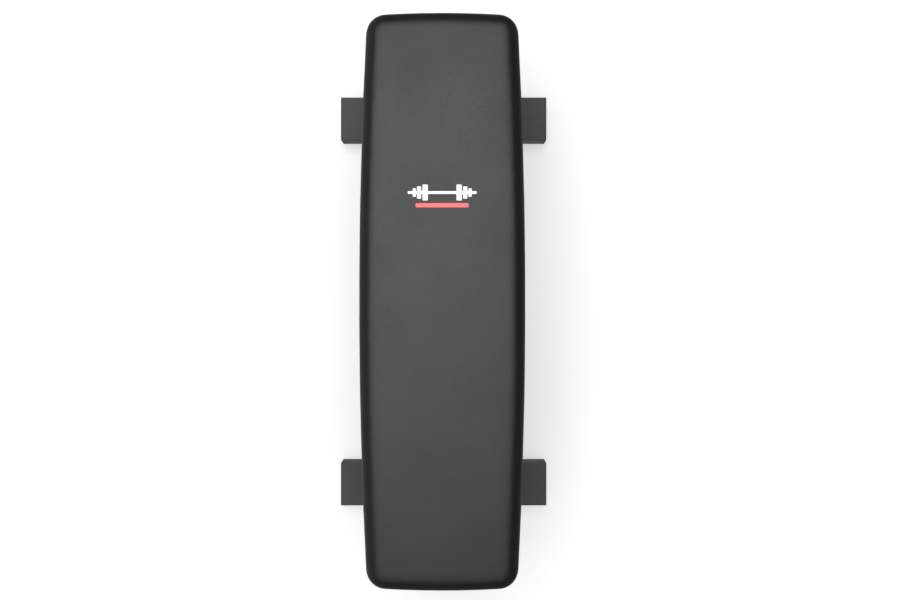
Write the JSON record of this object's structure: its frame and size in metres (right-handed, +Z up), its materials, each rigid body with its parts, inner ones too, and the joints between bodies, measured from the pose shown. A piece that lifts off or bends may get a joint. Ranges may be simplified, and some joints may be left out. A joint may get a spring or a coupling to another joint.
{
  "type": "flat weight bench",
  "caption": "Flat weight training bench: a long padded board with softly bowed sides on a steel tube spine, with wide cross feet, a carry handle and transport wheels.",
  "frame": {"origin": "on the floor, under the middle of the pad", "axes": "+Z up, +Y along the bench towards the wheeled end, +X across it to the right of a person who looks along +Y"},
  "size_m": [0.477, 1.104, 0.44],
  "materials": {
    "vinyl": "near-black grained vinyl, satin",
    "foam_soft": "open-cell comfort foam, grey",
    "foam_firm": "dense rebonded foam, dark grey",
    "plywood": "birch plywood, raw",
    "dust_cloth": "black non-woven cloth",
    "zinc": "bright zinc plate",
    "black_zinc": "black zinc plate",
    "frame_paint": "matte black textured powder coat",
    "cap_plastic": "black moulded plastic, fine texture",
    "foot_rubber": "black rubber, matt",
    "grip_rubber": "black ribbed rubber",
    "wheel_rubber": "black solid tyre, worn tread",
    "hub_plastic": "dark grey moulded nylon",
    "bronze": "oil-filled sintered bronze"
  },
  "bodies": {
    "frame": {"crush_sleeves_front": "zinc", "crush_sleeves_rear": "zinc", "foot_cap_front_left": "cap_plastic", "foot_cap_front_right": "cap_plastic", "foot_cap_rear_left": "cap_plastic", "foot_cap_rear_right": "cap_plastic", "foot_screws_front": "black_zinc", "foot_screws_rear": "black_zinc", "foot_tube_front": "frame_paint", "foot_tube_rear": "frame_paint", "foot_web_front_left": "frame_paint", "foot_web_front_right": "frame_paint", "foot_web_rear_left": "frame_paint", "foot_web_rear_right": "frame_paint", "frame_bolts_front": "black_zinc", "frame_bolts_rear": "black_zinc", "frame_nuts_front": "black_zinc", "frame_nuts_rear": "black_zinc", "frame_washers_front": "black_zinc", "frame_washers_rear": "black_zinc", "gusset_plate_front_left": "frame_paint", "gusset_plate_front_right": "frame_paint", "gusset_plate_rear_left": "frame_paint", "gusset_plate_rear_right": "frame_paint", "handle_bar": "frame_paint", "handle_end_plate": "frame_paint", "handle_grip": "grip_rubber", "pad_board": "plywood", "pad_bolt_washers": "zinc", "pad_bolts": "zinc", "pad_bracket_front": "frame_paint", "pad_bracket_middle": "frame_paint", "pad_bracket_rear": "frame_paint", "pad_cover": "vinyl", "pad_dust_cover": "dust_cloth", "pad_foam_base": "foam_firm", "pad_foam_top": "foam_soft", "pad_staples": "zinc", "pad_t_nuts": "zinc", "post_front": "frame_paint", "post_rear": "frame_paint", "rubber_foot_front_left": "foot_rubber", "rubber_foot_front_right": "foot_rubber", "rubber_foot_rear_left": "foot_rubber", "rubber_foot_rear_right": "foot_rubber", "spine_end_cap": "cap_plastic", "spine_tube": "frame_paint", "wheel_axle_bolt_left": "black_zinc", "wheel_axle_bolt_right": "black_zinc", "wheel_axle_nut_left": "black_zinc", "wheel_axle_nut_right": "black_zinc", "wheel_fork_left": "frame_paint", "wheel_fork_right": "frame_paint"},
    "wheel_left": {"wheel_bushing_left": "bronze", "wheel_hub_left": "hub_plastic", "wheel_tyre_left": "wheel_rubber"},
    "wheel_right": {"wheel_bushing_right": "bronze", "wheel_hub_right": "hub_plastic", "wheel_tyre_right": "wheel_rubber"}
  },
  "joints": [
    {"name": "left_wheel_spin", "type": "hinge", "parent": "frame", "child": "wheel_left", "pos_m": [-0.085, 0.5143, 0.036], "axis": [1, 0, 0], "continuous": true},
    {"name": "right_wheel_spin", "type": "hinge", "parent": "frame", "child": "wheel_right", "pos_m": [0.085, 0.5143, 0.036], "axis": [1, 0, 0], "continuous": true}
  ]
}
